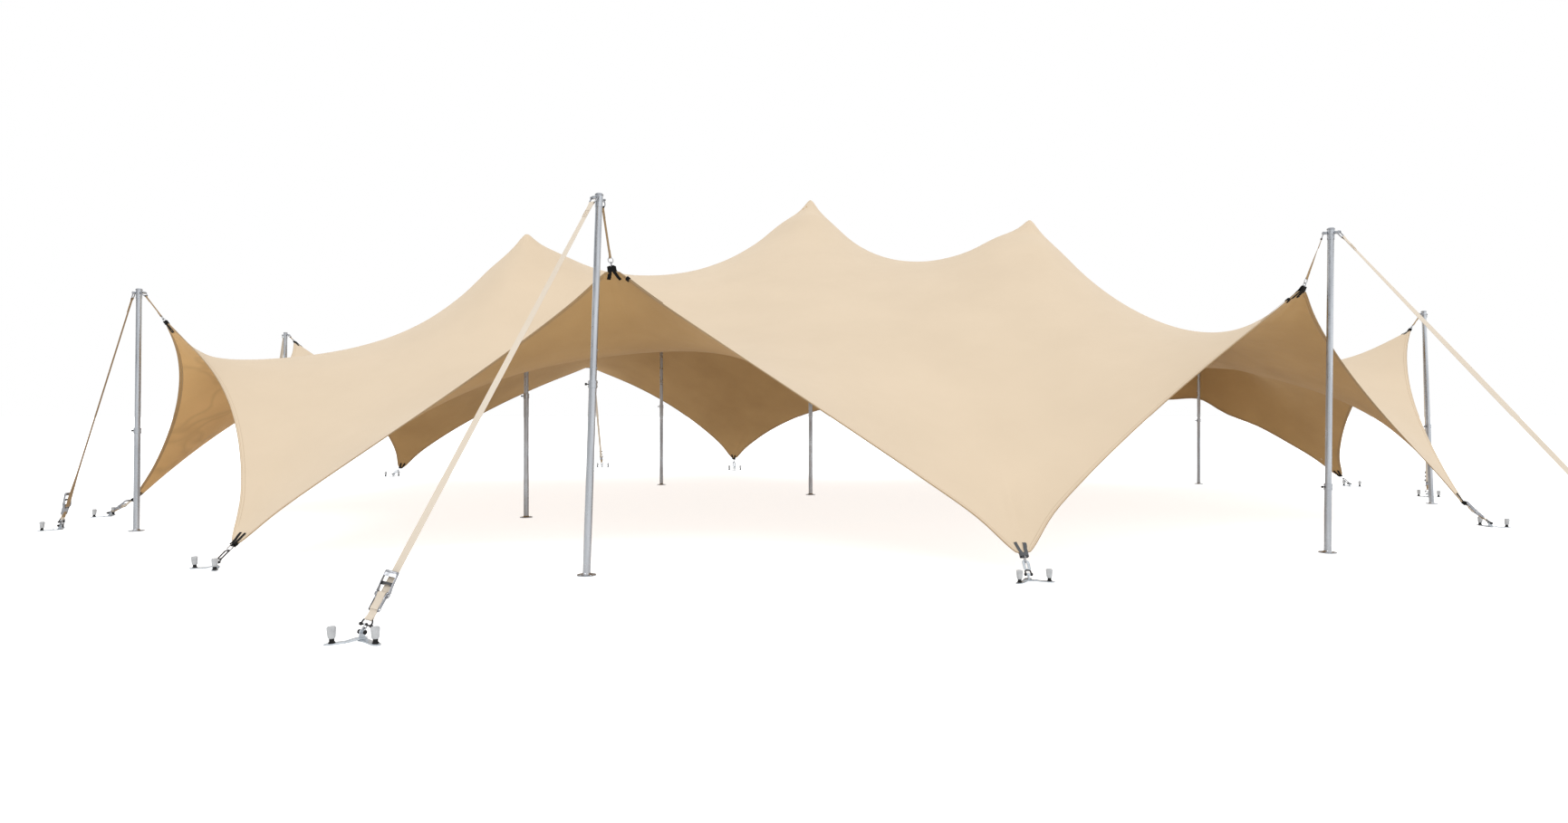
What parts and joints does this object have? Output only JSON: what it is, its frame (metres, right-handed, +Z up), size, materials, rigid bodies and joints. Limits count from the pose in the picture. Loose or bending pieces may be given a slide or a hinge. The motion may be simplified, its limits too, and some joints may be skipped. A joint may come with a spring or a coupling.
{
  "type": "stretch tent",
  "caption": "Free-form stretch tent: one tensioned beige sheet over inner poles, held out by edge poles, guys with ratchets and staked ground anchors.",
  "frame": {"origin": "on the ground, under the middle of the whole tent", "axes": "+X to the right seen from the front, +Y to the back, +Z up"},
  "size_m": [19.543, 15.9949, 4.555],
  "materials": {
    "sheet_fabric": "matt stretch fabric, sand beige above and warm tan beneath",
    "webbing": "woven polyester strap, cream",
    "aluminium_tube": "satin anodised tube",
    "galvanised_steel": "bluish grey galvanised steel"
  },
  "bodies": {
    "tent": {"canopy_sheet": "sheet_fabric", "guy_anchor_back": "galvanised_steel", "guy_anchor_back_left": "galvanised_steel", "guy_anchor_front_left": "galvanised_steel", "guy_anchor_front_right": "galvanised_steel", "guy_anchor_left": "galvanised_steel", "guy_anchor_right": "galvanised_steel", "guy_strap_back": "webbing", "guy_strap_back_left": "webbing", "guy_strap_front_left": "webbing", "guy_strap_front_right": "webbing", "guy_strap_left": "webbing", "guy_strap_right": "webbing", "hanger_back": "webbing", "hanger_back_left": "webbing", "hanger_front_left": "webbing", "hanger_front_right": "webbing", "hanger_left": "webbing", "hanger_right": "webbing", "inner_pole_back_left": "aluminium_tube", "inner_pole_back_right": "aluminium_tube", "inner_pole_left": "aluminium_tube", "inner_pole_middle": "aluminium_tube", "inner_pole_right": "aluminium_tube", "pole_back": "aluminium_tube", "pole_back_left": "aluminium_tube", "pole_front_left": "aluminium_tube", "pole_front_right": "aluminium_tube", "pole_left": "aluminium_tube", "pole_right": "aluminium_tube", "ratchet_back": "galvanised_steel", "ratchet_back_left": "galvanised_steel", "ratchet_front_left": "galvanised_steel", "ratchet_front_right": "galvanised_steel", "ratchet_left": "galvanised_steel", "ratchet_right": "galvanised_steel", "sheet_anchor_back": "galvanised_steel", "sheet_anchor_back_left": "galvanised_steel", "sheet_anchor_back_middle": "galvanised_steel", "sheet_anchor_back_right": "galvanised_steel", "sheet_anchor_front": "galvanised_steel", "sheet_anchor_front_left": "galvanised_steel", "sheet_anchor_left": "galvanised_steel", "sheet_anchor_right": "galvanised_steel", "tie_back": "galvanised_steel", "tie_back_left": "galvanised_steel", "tie_back_middle": "galvanised_steel", "tie_back_right": "galvanised_steel", "tie_front": "galvanised_steel", "tie_front_left": "galvanised_steel", "tie_left": "webbing", "tie_ratchet_left": "galvanised_steel", "tie_ratchet_right": "galvanised_steel", "tie_right": "webbing"},
    "ratchet_handle_front_left": {"ratchet_handle_front_left": "galvanised_steel"},
    "ratchet_handle_left": {"ratchet_handle_left": "galvanised_steel"},
    "tie_ratchet_handle_left": {"tie_ratchet_handle_left": "galvanised_steel"},
    "tie_ratchet_handle_right": {"tie_ratchet_handle_right": "galvanised_steel"}
  },
  "joints": [
    {"name": "ratchet_handle_front_left_turn", "type": "hinge", "parent": "tent", "child": "ratchet_handle_front_left", "pos_m": [-2.46262, -7.73402, 0.23417], "axis": [0.9689, -0.1397, -0.2041], "range_deg": [0, 160]},
    {"name": "ratchet_handle_left_turn", "type": "hinge", "parent": "tent", "child": "ratchet_handle_left", "pos_m": [-7.94408, -3.10816, 0.26707], "axis": [-0.1069, -0.9943, 0], "range_deg": [0, 160]},
    {"name": "tie_ratchet_handle_left_turn", "type": "hinge", "parent": "tent", "child": "tie_ratchet_handle_left", "pos_m": [-8.22535, -1.90136, 0.13624], "axis": [-0.2305, -0.9731, 0], "range_deg": [0, 160]},
    {"name": "tie_ratchet_handle_right_turn", "type": "hinge", "parent": "tent", "child": "tie_ratchet_handle_right", "pos_m": [7.55634, -2.84408, 0.18243], "axis": [0.2425, 0.9701, 0], "range_deg": [0, 160]}
  ]
}
